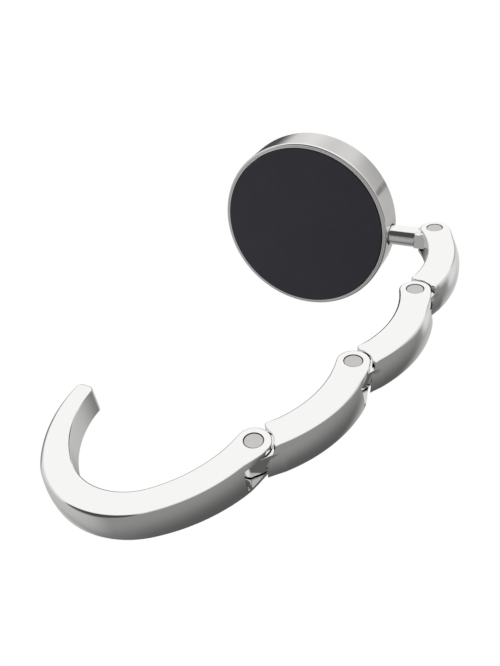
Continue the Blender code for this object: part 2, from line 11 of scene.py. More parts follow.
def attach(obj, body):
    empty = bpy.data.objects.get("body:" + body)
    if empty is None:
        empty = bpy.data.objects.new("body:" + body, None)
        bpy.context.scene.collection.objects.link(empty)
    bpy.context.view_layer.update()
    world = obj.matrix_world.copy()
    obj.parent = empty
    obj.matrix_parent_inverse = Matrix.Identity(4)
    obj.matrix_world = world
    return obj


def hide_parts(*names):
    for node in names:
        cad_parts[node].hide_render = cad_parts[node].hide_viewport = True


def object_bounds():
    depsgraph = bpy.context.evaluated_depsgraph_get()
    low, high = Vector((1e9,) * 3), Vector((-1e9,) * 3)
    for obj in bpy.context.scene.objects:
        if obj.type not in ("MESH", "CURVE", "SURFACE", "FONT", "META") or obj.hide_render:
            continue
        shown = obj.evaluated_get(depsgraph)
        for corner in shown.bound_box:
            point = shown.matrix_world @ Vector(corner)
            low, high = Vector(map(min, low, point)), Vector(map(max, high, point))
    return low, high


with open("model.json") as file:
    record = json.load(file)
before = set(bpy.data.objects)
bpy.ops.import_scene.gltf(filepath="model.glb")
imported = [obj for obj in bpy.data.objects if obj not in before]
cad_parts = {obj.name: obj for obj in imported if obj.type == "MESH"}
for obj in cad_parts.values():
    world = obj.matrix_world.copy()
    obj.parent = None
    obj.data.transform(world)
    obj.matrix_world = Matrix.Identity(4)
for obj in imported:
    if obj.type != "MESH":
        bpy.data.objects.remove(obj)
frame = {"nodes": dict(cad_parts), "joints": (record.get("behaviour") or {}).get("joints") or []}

cad_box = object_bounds()

# Disc
DISC_RADIUS = 0.0220
DISC_HEIGHT = 0.0075
RIM_WALL = 0.0010
RIM_SETBACK = 0.0002
RIM_LOWER_ROUND = 0.0004
RIM_UPPER_ROUND = 0.0008
LIP_GROOVE_RADIUS = 0.0214
LIP_GROOVE_WIDTH = 0.00020
LIP_GROOVE_DEPTH = 0.00022
LIP_GROOVE_ROUND = 0.00006
LIP_ROUND = 0.00012
LEDGE_WIDTH = 0.0012
LEDGE_HEIGHT = 0.00235
CAVITY_TOP = 0.0060
RECESS_FLOOR = 0.0066
RECESS_RADIUS = 0.0200
RECESS_ROUND = 0.00015
PAD_RADIUS = 0.0209
PAD_THICKNESS = 0.0012
PAD_ROUND = 0.0002
INLAY_RADIUS = 0.0199
INLAY_BOTTOM = 0.0070
INLAY_TOP = 0.0074
INLAY_ROUND = 0.0002

# Stud
STUD_RADIUS = 0.00224
STUD_NECK_RADIUS = 0.0013
STUD_START = 0.0090
STUD_SHOULDER = 0.0210
STUD_CHAMFER = 0.00045
STUD_CHAMFER_LENGTH = 0.0010
STUD_ROUND = 0.00012
STUD_HOLE_RADIUS = 0.0025
STUD_HOLE_DEPTH = 0.0013

# Links and hook. LINK_WIDTH and HOOK_OUTER_RISES are a touch smaller than those of the packed
# solids, so that the rounded bars stay inside the solids' box. The rises are how far the hook's
# outer side stands out past half its width, and its leans how far that side leans in at the
# front face, both after the ear and at the end of each arc.
LINK_INNER_RADIUS = 0.0237
LINK_HEIGHT = 0.0060
LINK_WIDTH = 0.00666
LINK_LEAN = 0.0012
EAR_RADIUS = 0.0030
TONGUE_THICKNESS = 0.0034
TONGUE_END_RADIUS = 0.0027
TONGUE_ROOT = 0.0050
TONGUE_ROOT_HEIGHT = 0.0026
STUD_TONGUE_ROOT = 0.0037
TONGUE_ROUND = 0.00015
SHOULDER_RADIUS = 0.0033
SHOULDER_SETBACK = 0.0028
SHOULDER_CORNER = 0.0005
SHOULDER_WRAP_RADIUS = 0.0034
SHOULDER_FRONT_SETBACK = 0.0031
HEEL_REACH = 0.0041
HEEL_HEIGHT = 0.0036
SLOT_WIDTH = 0.0040
SLOT_FLOOR = 0.00305
SLOT_STEP_REACH = 0.0044
SLOT_RUNOUT = 0.0083
HOOK_HEADING = math.radians(-97.2)
HOOK_ARC_RADII = (0.0290, 0.0148, 0.0233)
HOOK_ARC_ANGLES = (math.radians(40.3), math.radians(85.2), math.radians(45.1))
HOOK_WIDTHS = (0.0060, 0.0051, 0.0055, 0.0038)
HOOK_OUTER_RISES = (0.0003, 0.00025, -0.00005, 0)
HOOK_LEANS = (0.0012, 0.0006, 0, 0)
HOOK_TIP_CORNER = 0.0010

# How far the outer side of a bar bulges between its faces, and the lengths from a bar's end
# between which that side takes its full form
OUTER_CROWN = 0.0003
GROWTH_START = 0.0015
GROWTH_END = 0.0050
SIDE_STRIPS = 8

# Rounds between the faces and the sides of the bars, and of the edges that the cuts leave
EAR_ROUND = 0.0003
LINK_OUTER_ROUND = 0.00035
HOOK_OUTER_ROUND = 0.0004
HOOK_BOWL_ROUND = 0.0009
BAR_INNER_ROUND = 0.0005
SHOULDER_ROUND = 0.0002
TIP_ROUND = 0.0004
CUT_EDGE_ROUND = 0.00008

# How far along a side its round is full, past the ear, the shoulder or the tip that it starts
# from, and how far along it starts to change towards the one where it ends, as shares of that side
LINK_OUTER_SHARE = 0.25
LINK_INNER_SHARES = (0.1, 0.8)
HOOK_OUTER_SHARE = 0.75
HOOK_OUTER_TIP_SHARE = 0.5
HOOK_INNER_TIP_SHARE = 0.1
HOOK_INNER_EAR_SHARE = 0.8

# Bevel segments
BAR_SEGMENTS = 6
TURNED_SEGMENTS = 5
TONGUE_SEGMENTS = 3
CUT_EDGE_SEGMENTS = 2

# Pins
PIN_RADIUS = 0.00162
PIN_RECESS = 0.00006
PIN_ROUND = 0.00014
PIN_HOLE_RADIUS = 0.00176

RUNNING_GAP = 0.0003
CUT_OVERRUN = 0.0020
CURVE_TOLERANCE = 0.000003
TURNED_MERGE_DISTANCE = 0.00000075
CUT_MERGE_DISTANCE = 0.0000005
QUARTER = math.pi / 2
SMOOTH_ANGLE = math.radians(35)
FLAT_ANGLE = math.radians(0.05)

# A vertex this far out from the middle, as a share of the bar's height, is on one of its faces
FACE_SHARE = 0.49

# Camera, as fitted to the photograph: its place, the directions to its right, down and ahead, and
# its lens in pixels of the picture
CAMERA_PLACE = (0.06035, -0.07203, -0.122659)
CAMERA_RIGHT = Vector((0.822929, 0.175774, 0.54027))
CAMERA_DOWN = Vector((0.262667, 0.725499, -0.636126))
CAMERA_AHEAD = Vector((-0.50378, 0.665398, 0.550864))
IMAGE_SIZE = (500, 666)
FOCAL_PIXELS = 565.6
CENTRE_PIXEL = (187.21, 392.21)
SENSOR_WIDTH = 36
CAMERA_RANGE = (0.005, 20)

STUDIO_FLOOR = -0.16
FLOOR_SIZE = 6.0

# The studio's cards as the metal sees them: azimuth and height of the middle, half the width of
# the core and width of the soft edge, all in degrees, and brightness. A later card covers the
# earlier ones. ROOM_GREY is what lies between them, and ROOM_LIGHT the even light on the rest.
ROOM_GREY = 0.28
ROOM_LIGHT = 0.55
CARDS = (
    (21, -70, 10, 61, 0.10),
    (60, 29, 33, 10, 0.73),
    (168, -59, 4, 24, 0.55),
    (92, -24, 4, 45, 0.54),
    (134, 45, 52, 46, 1.0),
    (-166, 0, 30, 18, 0.76),
    (132, -12, 14, 16, 0.10),
    (162, -8, 14, 16, 0.20),
    (62, -12, 4, 11, 0.72),
    (60.5, 2.5, 0.8, 2.2, 0.10),
    (-110, 42, 25, 8, 0.07),
    (-140, -13, 7, 42, 0.53),
    (75, 6, 6, 15, 0.43),
)

# Soft lamps: name, azimuth and height of their direction in degrees, distance, size and power
LAMPS = (
    ("key", 125, 55, 0.6, 0.5, 1.6),
    ("fill", -60, 20, 0.7, 0.5, 0.7),
    ("top", 90, 0, 0.6, 0.4, 0.7),
)

# The part of its range that a noise pattern really fills
NOISE_RANGE = (0.3, 0.7)
RING_WOBBLE = 0.6

# Sockets of a Mix node: its two numbers, its two colours and its mixed colour
MIX_NUMBERS = (2, 3)
MIX_COLOURS = (6, 7)
MIX_RESULT = 2


def polar(centre, radius, angle):
    """The point at this radius and angle from the centre, in the XZ plane."""
    return centre + radius * Vector((math.cos(angle), math.sin(angle)))


def facets(radius, sweep):
    """How many facets keep an arc close to its curve."""
    step = 2 * math.acos(1 - CURVE_TOLERANCE / radius)
    return max(2, math.ceil(abs(sweep) / step))


def graded(share, sizes):
    """The size at this share of an arc, between (share, size) stations, or the only size."""
    if len(sizes) == 1:
        return sizes[0]
    for (low, before), (high, after) in zip(sizes, sizes[1:]):
        if share <= high:
            return before + (after - before) * (share - low) / (high - low)
    return sizes[-1][1]


class Place:
    """A place on the chain: an origin in the XZ plane and the heading of the bar there."""

    def __init__(self, origin, heading):
        self.origin = origin
        self.heading = heading

    def at(self, ahead, outward):
        """The point this far ahead along the heading and this far out from it."""
        forward = polar(Vector((0, 0)), ahead, self.heading)
        return self.origin + polar(forward, outward, self.heading + QUARTER)


class Outline:
    """A closed outline in the XZ plane, drawn as a chain of edges that know their rounds.

    Its points know their lean, which shifts the side of the bar at the front face, and their
    crown, which makes the side bulge half-way between the faces.
    """

    def __init__(self, start):
        self.mesh = bmesh.new()
        self.rounds = self.mesh.edges.layers.float.new("bevel_weight_edge")
        self.leans = self.mesh.verts.layers.float_vector.new("lean")
        self.crowns = self.mesh.verts.layers.float_vector.new("crown")
        self.first = self.mesh.verts.new((start.x, 0, start.y))
        self.last = self.first

    def line(self, point, size, front=None):
        """A straight edge to a point, which may lie elsewhere at the front face."""
        vert = self.mesh.verts.new((point.x, 0, point.y))
        self.mesh.edges.new((self.last, vert))[self.rounds] = size
        self.last = vert
        if front:
            self.lean_to(front)

    def lean_to(self, front):
        """Makes the side lean from the last point to this one at the front face."""
        self.last[self.leans] = Vector((front.x, 0, front.y)) - self.last.co

    def arc(self, centre, sweep, *sizes):
        """An arc about a centre, anticlockwise seen from -Y when the sweep is positive.

        Its round has one size, or goes from size to size at (share of the arc, size) stations.
        """
        place = Vector((centre.x, 0, centre.y))
        steps = facets((self.last.co - place).length, sweep)
        known = set(self.mesh.edges) | set(self.mesh.verts)
        made = bmesh.ops.spin(
            self.mesh, geom=[self.last], cent=place, axis=(0, -1, 0), angle=sweep, steps=steps
        )
        self.last = made["geom_last"][0]
        new = [edge for edge in self.mesh.edges if edge not in known]
        for number, edge in enumerate(new):
            edge[self.rounds] = graded(number / (len(new) - 1), sizes)
        return [vert for vert in self.mesh.verts if vert not in known]

    def arc_to(self, point, radius, turn, *sizes):
        """An arc of this radius to a point, anticlockwise for turn 1 and clockwise for -1."""
        here = Vector((self.last.co.x, self.last.co.z))
        chord = point - here
        half = math.asin(chord.length / 2 / radius)
        heading = math.atan2(chord.y, chord.x)
        centre = polar(here, radius, heading + turn * (QUARTER - half))
        return centre, self.arc(centre, turn * 2 * half, *sizes)

    def form(self, centre, verts, rises, leans, crowns):
        """Moves the points of an arc out and gives them leans and crowns, graded along it."""
        middle = Vector((centre.x, 0, centre.y))
        for number, vert in enumerate(verts, 1):
            outward = (vert.co - middle).normalized()
            vert.co += outward * graded(number / len(verts), rises)
            vert[self.leans] = -outward * graded(number / len(verts), leans)
            vert[self.crowns] = outward * graded(number / len(verts), crowns)

    def solid(self, thickness, size=0, strips=1):
        """The outline closed, filled and given its thickness, centred on y = 0."""
        if (self.last.co - self.first.co).length > CURVE_TOLERANCE:
            self.mesh.edges.new((self.last, self.first))[self.rounds] = size
        bmesh.ops.remove_doubles(self.mesh, verts=self.mesh.verts, dist=CURVE_TOLERANCE)
        filled = bmesh.ops.contextual_create(self.mesh, geom=self.mesh.edges[:])["faces"]
        bmesh.ops.translate(self.mesh, verts=self.mesh.verts, vec=(0, -thickness / 2, 0))
        grown = bmesh.ops.extrude_face_region(self.mesh, geom=filled)["geom"]
        moved = [item for item in grown if isinstance(item, bmesh.types.BMVert)]
        bmesh.ops.translate(self.mesh, verts=moved, vec=(0, thickness, 0))
        upright = [edge for edge in self.mesh.edges if edge.verts[0].co.y != edge.verts[1].co.y]
        for edge in upright:
            edge[self.rounds] = 0
        if strips > 1:
            bmesh.ops.subdivide_edges(
                self.mesh, edges=upright, cuts=strips - 1, use_grid_fill=True
            )
        for vert in self.mesh.verts:
            rise = 0.5 - vert.co.y / thickness
            vert.co += vert[self.leans] * rise**2 + vert[self.crowns] * 4 * rise * (1 - rise)
        return self.mesh


def add_mesh(name, builder, finish):
    """An object at the origin with this mesh and material."""
    bmesh.ops.recalc_face_normals(builder, faces=builder.faces)
    mesh = bpy.data.meshes.new(name)
    builder.to_mesh(mesh)
    builder.free()
    if finish:
        mesh.materials.append(finish)
    obj = bpy.data.objects.new(name, mesh)
    bpy.context.scene.collection.objects.link(obj)
    return obj


def add_bevel(obj, width, segments, by_angle):
    """A bevel by edge weights, or on every edge that is sharper than the smoothing angle."""
    modifier = obj.modifiers.new("round", "BEVEL")
    modifier.width = width
    modifier.segments = segments
    modifier.limit_method = "ANGLE" if by_angle else "WEIGHT"
    modifier.angle_limit = SMOOTH_ANGLE
    modifier.use_clamp_overlap = by_angle


def combine(obj, other, operation):
    """Joins or cuts one object with another, and gives that one back as a helper."""
    modifier = obj.modifiers.new(other.name, "BOOLEAN")
    modifier.operation = operation
    modifier.solver = "EXACT"
    modifier.object = other
    return other


def flatten(mesh):
    """Joins the faces of a mesh that lie in one plane."""
    builder = bmesh.new()
    builder.from_mesh(mesh)
    bmesh.ops.remove_doubles(builder, verts=builder.verts, dist=CUT_MERGE_DISTANCE)
    bmesh.ops.dissolve_limit(
        builder, angle_limit=FLAT_ANGLE, verts=builder.verts, edges=builder.edges
    )
    builder.to_mesh(mesh)
    builder.free()


def finished(obj, helpers=()):
    """Applies the modifiers, removes the helpers and smooths the shading."""
    graph = bpy.context.evaluated_depsgraph_get()
    mesh = bpy.data.meshes.new_from_object(obj.evaluated_get(graph))
    old = obj.data
    obj.modifiers.clear()
    obj.data = mesh
    bpy.data.meshes.remove(old)
    mesh.name = obj.name
    for helper in helpers:
        bpy.data.objects.remove(helper)
    if helpers:
        flatten(mesh)
        add_bevel(obj, CUT_EDGE_ROUND, CUT_EDGE_SEGMENTS, True)
    mesh.shade_smooth()
    mesh.set_sharp_from_angle(angle=SMOOTH_ANGLE)
    weighted = obj.modifiers.new("normals", "WEIGHTED_NORMAL")
    weighted.keep_sharp = True


def bar_solid(name, outline, width, finish):
    """A bar with the outline's rounds, which the bevel takes as shares of one width."""
    builder = outline.solid(LINK_HEIGHT, BAR_INNER_ROUND, SIDE_STRIPS)
    face_reach = LINK_HEIGHT * FACE_SHARE
    for edge in builder.edges:
        edge[outline.rounds] *= all(abs(vert.co.y) > face_reach for vert in edge.verts)
        edge[outline.rounds] /= width
    obj = add_mesh(name, builder, finish)
    add_bevel(obj, width, BAR_SEGMENTS, False)
    split = obj.modifiers.new("triangles", "TRIANGULATE")
    split.min_vertices = 5
    return obj


def turned_mesh(profile, centre, axis):
    """A round mesh: (radius, place along the axis, round of that corner) points, turned."""
    along = Vector(axis)
    across = Vector((0, 0, 1)) if along.x else Vector((1, 0, 0))
    builder = bmesh.new()
    verts = [
        builder.verts.new(centre + across * radius + along * place)
        for radius, place, _ in profile
    ]
    for pair in zip(verts, verts[1:]):
        builder.edges.new(pair)
    if profile[0][0] > 0:
        builder.edges.new((verts[-1], verts[0]))
    for vert, (_, _, size) in zip(verts, profile):
        if size:
            bmesh.ops.bevel(
                builder,
                geom=[vert],
                offset=size,
                offset_type="OFFSET",
                segments=TURNED_SEGMENTS,
                profile=0.5,
                affect="VERTICES",
                material=-1,
            )
    widest = max(radius for radius, _, _ in profile)
    bmesh.ops.spin(
        builder,
        geom=builder.verts[:] + builder.edges[:],
        cent=centre,
        axis=along,
        angle=4 * QUARTER,
        steps=4 * facets(widest, QUARTER),
        use_merge=True,
    )
    bmesh.ops.remove_doubles(builder, verts=builder.verts, dist=TURNED_MERGE_DISTANCE)
    return builder


def axle(name, pin, radius, thickness):
    """A round cutter along Y through a hinge pin's place."""
    half = thickness / 2 + CUT_OVERRUN
    profile = [(0, -half, 0), (radius, -half, 0), (radius, half, 0), (0, half, 0)]
    return add_mesh(name, turned_mesh(profile, Vector((pin.x, 0, pin.y)), (0, 1, 0)), None)


def chain_places():
    """The place at each hinge: where the piece above it ends and the piece below it starts."""
    joints = {joint["name"]: joint for joint in frame["joints"]}
    names = ("hinge_1", "hinge_2", "hinge_3", "hook_hinge")
    pins = [Vector((joints[name]["pos_m"][0], joints[name]["pos_m"][2])) for name in names]
    above = [Place(pins[0], 0)]
    below = []
    for pin, following in zip(pins, pins[1:]):
        chord = following - pin
        heading = math.atan2(chord.y, chord.x)
        half = math.asin(chord.length / 2 / (LINK_INNER_RADIUS + EAR_RADIUS))
        below.append(Place(pin, heading + half))
        above.append(Place(following, heading - half))
    below.append(Place(pins[-1], HOOK_HEADING))
    return above, below


def draw_ear(fork):
    """Starts a bar's outline at the fork's inner side and goes round its end."""
    outline = Outline(fork.at(0, -EAR_RADIUS))
    outline.arc(fork.origin, -2 * QUARTER, EAR_ROUND)
    return outline


def link_bar(name, fork, tail, child, finish):
    """The curved bar of a link, before its tongue, slot and holes."""
    centre = fork.at(0, -LINK_INNER_RADIUS - EAR_RADIUS)
    start = fork.heading + QUARTER
    end = tail.heading + QUARTER
    outline = draw_ear(fork)
    outer_end = end + math.asin(SHOULDER_FRONT_SETBACK / (LINK_INNER_RADIUS + LINK_WIDTH))
    sizes = ((0, EAR_ROUND), (LINK_OUTER_SHARE, LINK_OUTER_ROUND))
    verts = outline.arc(centre, outer_end - start, *sizes)
    length = (LINK_INNER_RADIUS + EAR_RADIUS) * (start - outer_end)
    low, high = GROWTH_START / length, GROWTH_END / length
    outline.form(
        centre,
        verts,
        ((0, 0), (low, 0), (high, LINK_WIDTH - 2 * EAR_RADIUS)),
        ((0, 0), (low, 0), (high, LINK_LEAN)),
        ((0, 0), (low, 0), (high, OUTER_CROWN)),
    )

    # At the back the shoulder reaches on round the next fork and along its outer side
    turn = child.heading - tail.heading
    rise = LINK_WIDTH - EAR_RADIUS
    ahead = (rise * math.cos(turn) - SHOULDER_WRAP_RADIUS) / math.sin(turn)
    corner = tail.at(ahead, rise)
    front_corner = tail.at(-SHOULDER_FRONT_SETBACK, rise - LINK_LEAN)
    outline.last.co = (corner.x, 0, corner.y)
    outline.lean_to(front_corner)
    outline.last[outline.crowns] = (0, 0, 0)
    bend = math.acos(SHOULDER_SETBACK / SHOULDER_RADIUS)
    shoulder = polar(tail.origin, SHOULDER_RADIUS, tail.heading + 2 * QUARTER - bend)
    wrap = polar(tail.origin, SHOULDER_WRAP_RADIUS, child.heading + QUARTER)
    outline.line(wrap, SHOULDER_ROUND, (front_corner + shoulder) / 2)
    outline.line(shoulder, SHOULDER_ROUND)
    outline.arc(tail.origin, 2 * bend, SHOULDER_ROUND)
    back = SHOULDER_SETBACK + SHOULDER_CORNER
    inner_end = end + math.asin(back / LINK_INNER_RADIUS)
    inward = LINK_INNER_RADIUS + EAR_RADIUS - LINK_INNER_RADIUS * math.cos(inner_end - end)
    round_centre = tail.at(-back, SHOULDER_CORNER - inward)
    outline.line(polar(round_centre, SHOULDER_CORNER, tail.heading), SHOULDER_ROUND)
    outline.arc(round_centre, -QUARTER, SHOULDER_ROUND)
    outline.line(polar(centre, LINK_INNER_RADIUS, inner_end), SHOULDER_ROUND)
    full = [(share, BAR_INNER_ROUND) for share in LINK_INNER_SHARES]
    outline.arc(centre, start - inner_end, (0, SHOULDER_ROUND), *full, (1, EAR_ROUND))
    return bar_solid(name, outline, LINK_OUTER_ROUND, finish)


def hook_bar(name, fork, finish):
    """The curved bar of the hook: three arcs and a blunt tip."""
    outline = draw_ear(fork)
    place = fork
    stations = [(place, HOOK_WIDTHS[0], 0)]
    arcs = zip(HOOK_ARC_RADII, HOOK_ARC_ANGLES, HOOK_WIDTHS[1:], HOOK_OUTER_RISES[1:])
    for radius, sweep, width, rise in arcs:
        centre = place.at(0, -radius)
        heading = place.heading - sweep
        place = Place(polar(centre, radius, heading + QUARTER), heading)
        stations.append((place, width, rise))
    round_sizes = (
        ((0, EAR_ROUND), (HOOK_OUTER_SHARE, HOOK_OUTER_ROUND)),
        ((0, HOOK_OUTER_ROUND), (1, HOOK_BOWL_ROUND)),
        ((0, HOOK_BOWL_ROUND), (HOOK_OUTER_TIP_SHARE, HOOK_BOWL_ROUND), (1, TIP_ROUND)),
    )
    length = HOOK_ARC_RADII[0] * HOOK_ARC_ANGLES[0]
    low, high = GROWTH_START / length, GROWTH_END / length
    fading = 1 - GROWTH_END / (HOOK_ARC_RADII[-1] * HOOK_ARC_ANGLES[-1])

    # An arc's rise goes straight from end to end. The first arc's starts from none and has more
    # on top of that, so that it stays flat up to GROWTH_START and is full from GROWTH_END on.
    first, second = HOOK_OUTER_RISES[:2]
    on_first = ((0, 0), (low, -second * low), (high, first - first * high), (1, 0))
    extra_rises = (on_first, (0,), (0,))
    first, second = HOOK_LEANS[:2]
    leans = (
        ((0, 0), (low, 0), (high, first + (second - first) * high), (1, second)),
        ((0, second), (1, HOOK_LEANS[2])),
        (HOOK_LEANS[3],),
    )
    crowns = (
        ((0, 0), (low, 0), (high, OUTER_CROWN)),
        (OUTER_CROWN,),
        ((0, OUTER_CROWN), (fading, OUTER_CROWN), (1, 0)),
    )

    # The outer side, from the ear to the tip
    for number, radius in enumerate(HOOK_ARC_RADII):
        (_, wide, start_rise), (after, narrow, end_rise) = stations[number : number + 2]
        side_radius = radius + (wide + narrow) / 4 + (start_rise + end_rise) / 2
        corner = after.at(0, narrow / 2 + end_rise)
        centre, verts = outline.arc_to(corner, side_radius, -1, *round_sizes[number])
        outline.form(centre, verts, extra_rises[number], leans[number], crowns[number])

    # The blunt tip
    half_flat = HOOK_WIDTHS[-1] / 2 - HOOK_TIP_CORNER
    outline.arc(place.at(0, half_flat), -QUARTER, TIP_ROUND)
    outline.line(place.at(HOOK_TIP_CORNER, -half_flat), TIP_ROUND)
    outline.arc(place.at(0, -half_flat), -QUARTER, TIP_ROUND)

    # The inner side, back to the ear
    stations.reverse()
    round_sizes = (
        ((0, TIP_ROUND), (HOOK_INNER_TIP_SHARE, BAR_INNER_ROUND)),
        (BAR_INNER_ROUND,),
        ((0, BAR_INNER_ROUND), (HOOK_INNER_EAR_SHARE, BAR_INNER_ROUND), (1, EAR_ROUND)),
    )
    for number, radius in enumerate(reversed(HOOK_ARC_RADII)):
        (_, narrow, _), (after, wide, _) = stations[number : number + 2]
        side_radius = radius - (wide + narrow) / 4
        outline.arc_to(after.at(0, -wide / 2), side_radius, 1, *round_sizes[number])
    return bar_solid(name, outline, HOOK_BOWL_ROUND, finish)


def tongue_solid(name, tail, child, is_stud):
    """The tongue at the end of a piece, with the heel that stops the next piece."""
    turn = child.heading - tail.heading
    tip = turn + math.asin(RUNNING_GAP / HEEL_REACH)
    root = turn + math.asin(RUNNING_GAP / TONGUE_END_RADIUS)
    if is_stud:
        half = STUD_RADIUS - TONGUE_ROUND
        corner = math.asin(half / TONGUE_END_RADIUS)
        low_end = min(root, -corner)
        crest = turn + math.asin(TONGUE_END_RADIUS / HEEL_REACH)
        start = STUD_TONGUE_ROOT
        outline = Outline(tail.at(-start, half))
        outline.line(polar(tail.origin, TONGUE_END_RADIUS, tail.heading + corner), 0)
        outline.arc(tail.origin, turn + QUARTER - corner, 0)
        outline.line(polar(tail.origin, HEEL_REACH, tail.heading + crest), 0)
    else:
        half = TONGUE_END_RADIUS
        low_end = -QUARTER
        crest = math.asin(HEEL_HEIGHT / HEEL_REACH)
        start = TONGUE_ROOT
        outline = Outline(tail.at(-start, TONGUE_ROOT_HEIGHT))
        outline.line(polar(tail.origin, HEEL_REACH, tail.heading + crest), 0)
    outline.arc(tail.origin, tip - crest, 0)
    outline.line(polar(tail.origin, TONGUE_END_RADIUS, tail.heading + root), 0)
    if low_end < root:
        outline.arc(tail.origin, low_end - root, 0)
    outline.line(tail.at(-start, -half), 0)
    obj = add_mesh(name, outline.solid(TONGUE_THICKNESS), None)
    add_bevel(obj, TONGUE_ROUND, TONGUE_SEGMENTS, True)
    return obj


def cut_fork(obj, fork):
    """Cuts the slot and the pin hole into the fork at the start of a piece."""
    wide = 2 * EAR_RADIUS
    outline = Outline(fork.at(-wide, wide))
    corners = [(SLOT_RUNOUT, wide), (SLOT_STEP_REACH, 0), (SLOT_FLOOR, 0), (SLOT_FLOOR, -wide)]
    for corner in corners + [(-wide, -wide)]:
        outline.line(fork.at(*corner), 0)
    slot = add_mesh(obj.name + "_slot", outline.solid(SLOT_WIDTH), None)
    hole = axle(obj.name + "_hole", fork.origin, PIN_HOLE_RADIUS, LINK_HEIGHT)
    return [combine(obj, slot, "DIFFERENCE"), combine(obj, hole, "DIFFERENCE")]


def dress(obj, node, body):
    """Hides the imported node that a piece stands in for, and puts the piece under the empty of
    the body it moves with.
    """
    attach(obj, body)
    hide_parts(node)


def add_link(number, fork, tail, child, finish):
    """One link, with its fork at the top and its tongue at the bottom."""
    name = f"link_{number}"
    obj = link_bar(name + "_bar", fork, tail, child, finish)
    tongue = combine(obj, tongue_solid(name + "_tongue", tail, child, False), "UNION")
    helpers = [tongue] + cut_fork(obj, fork)
    hole = axle(name + "_tail_hole", tail.origin, PIN_HOLE_RADIUS + CUT_EDGE_ROUND, LINK_HEIGHT)
    helpers.append(combine(obj, hole, "DIFFERENCE"))
    finished(obj, helpers)
    dress(obj, name, name)


def add_hook(fork, finish):
    """The hook with its fork."""
    obj = hook_bar("hook_bar", fork, finish)
    finished(obj, cut_fork(obj, fork))
    dress(obj, "hook_arm", "hook")


def add_pin(number, place, body, finish):
    """A pin with rounded ends, just below the faces of its fork."""
    half = LINK_HEIGHT / 2 - PIN_RECESS
    profile = [(0, -half, 0), (PIN_RADIUS, -half, PIN_ROUND), (PIN_RADIUS, half, PIN_ROUND)]
    profile.append((0, half, 0))
    centre = Vector((place.origin.x, 0, place.origin.y))
    obj = add_mesh(f"pin_{number}", turned_mesh(profile, centre, (0, 1, 0)), finish)
    finished(obj)
    dress(obj, f"hinge_pin_{number}", body)


def add_stud(tail, child, finish):
    """The stud: a round bar with a chamfered end and a flat tongue."""
    axis = Vector((0, 0, DISC_HEIGHT / 2))
    end = tail.origin.x - SHOULDER_SETBACK
    profile = [
        (0, STUD_START, 0),
        (STUD_NECK_RADIUS, STUD_START, STUD_ROUND),
        (STUD_NECK_RADIUS, STUD_SHOULDER, 0),
        (STUD_RADIUS, STUD_SHOULDER, STUD_ROUND),
        (STUD_RADIUS, end - STUD_CHAMFER_LENGTH, STUD_ROUND),
        (STUD_RADIUS - STUD_CHAMFER, end, STUD_ROUND),
        (0, end, 0),
    ]
    obj = add_mesh("stud_bar", turned_mesh(profile, axis, (1, 0, 0)), finish)
    shoulder = axle("stud_shoulder", tail.origin, SHOULDER_RADIUS, 2 * STUD_RADIUS)
    tongue = tongue_solid("stud_tongue", tail, child, True)
    hole = axle("stud_hole", tail.origin, PIN_HOLE_RADIUS + CUT_EDGE_ROUND, TONGUE_THICKNESS)
    helpers = [combine(obj, shoulder, "DIFFERENCE"), combine(obj, tongue, "UNION")]
    helpers.append(combine(obj, hole, "DIFFERENCE"))
    finished(obj, helpers)
    dress(obj, "swivel_stud", "stud")


def add_case(finish):
    """The cup: rim, lip with its fine groove, side wall and recessed top."""
    origin = Vector((0, 0, 0))
    inner = DISC_RADIUS - RIM_WALL
    groove_out = LIP_GROOVE_RADIUS + LIP_GROOVE_WIDTH / 2
    groove_in = LIP_GROOVE_RADIUS - LIP_GROOVE_WIDTH / 2
    groove_top = RIM_SETBACK + LIP_GROOVE_DEPTH
    cavity = inner - LEDGE_WIDTH
    profile = [
        (0, RECESS_FLOOR, 0),
        (RECESS_RADIUS, RECESS_FLOOR, 0),
        (RECESS_RADIUS, DISC_HEIGHT, RECESS_ROUND),
        (DISC_RADIUS, DISC_HEIGHT, RIM_UPPER_ROUND),
        (DISC_RADIUS, RIM_SETBACK, RIM_LOWER_ROUND),
        (groove_out, RIM_SETBACK, LIP_GROOVE_ROUND),
        (LIP_GROOVE_RADIUS, groove_top, 0),
        (groove_in, RIM_SETBACK, LIP_GROOVE_ROUND),
        (inner, RIM_SETBACK, LIP_ROUND),
        (inner, LEDGE_HEIGHT, 0),
        (cavity, LEDGE_HEIGHT, 0),
        (cavity, CAVITY_TOP, 0),
        (0, CAVITY_TOP, 0),
    ]
    obj = add_mesh("case_cup", turned_mesh(profile, origin, (0, 0, 1)), finish)
    axis = Vector((0, 0, DISC_HEIGHT / 2))
    low = DISC_RADIUS - STUD_HOLE_DEPTH
    high = DISC_RADIUS + CUT_OVERRUN
    hole = [(0, low, 0), (STUD_HOLE_RADIUS, low, 0), (STUD_HOLE_RADIUS, high, 0), (0, high, 0)]
    cutter = add_mesh("stud_opening", turned_mesh(hole, axis, (1, 0, 0)), None)
    finished(obj, [combine(obj, cutter, "DIFFERENCE")])
    dress(obj, "disc_case", "disc")


def add_plate(name, radius, low, high, size, finish, node):
    """A round plate with rounded edges on one side: the pad's lower one, the inlay's upper."""
    profile = [(0, low, 0), (radius, low, size), (radius, high, size), (0, high, 0)]
    obj = add_mesh(name, turned_mesh(profile, Vector((0, 0, 0)), (0, 0, 1)), finish)
    finished(obj)
    dress(obj, node, "disc")


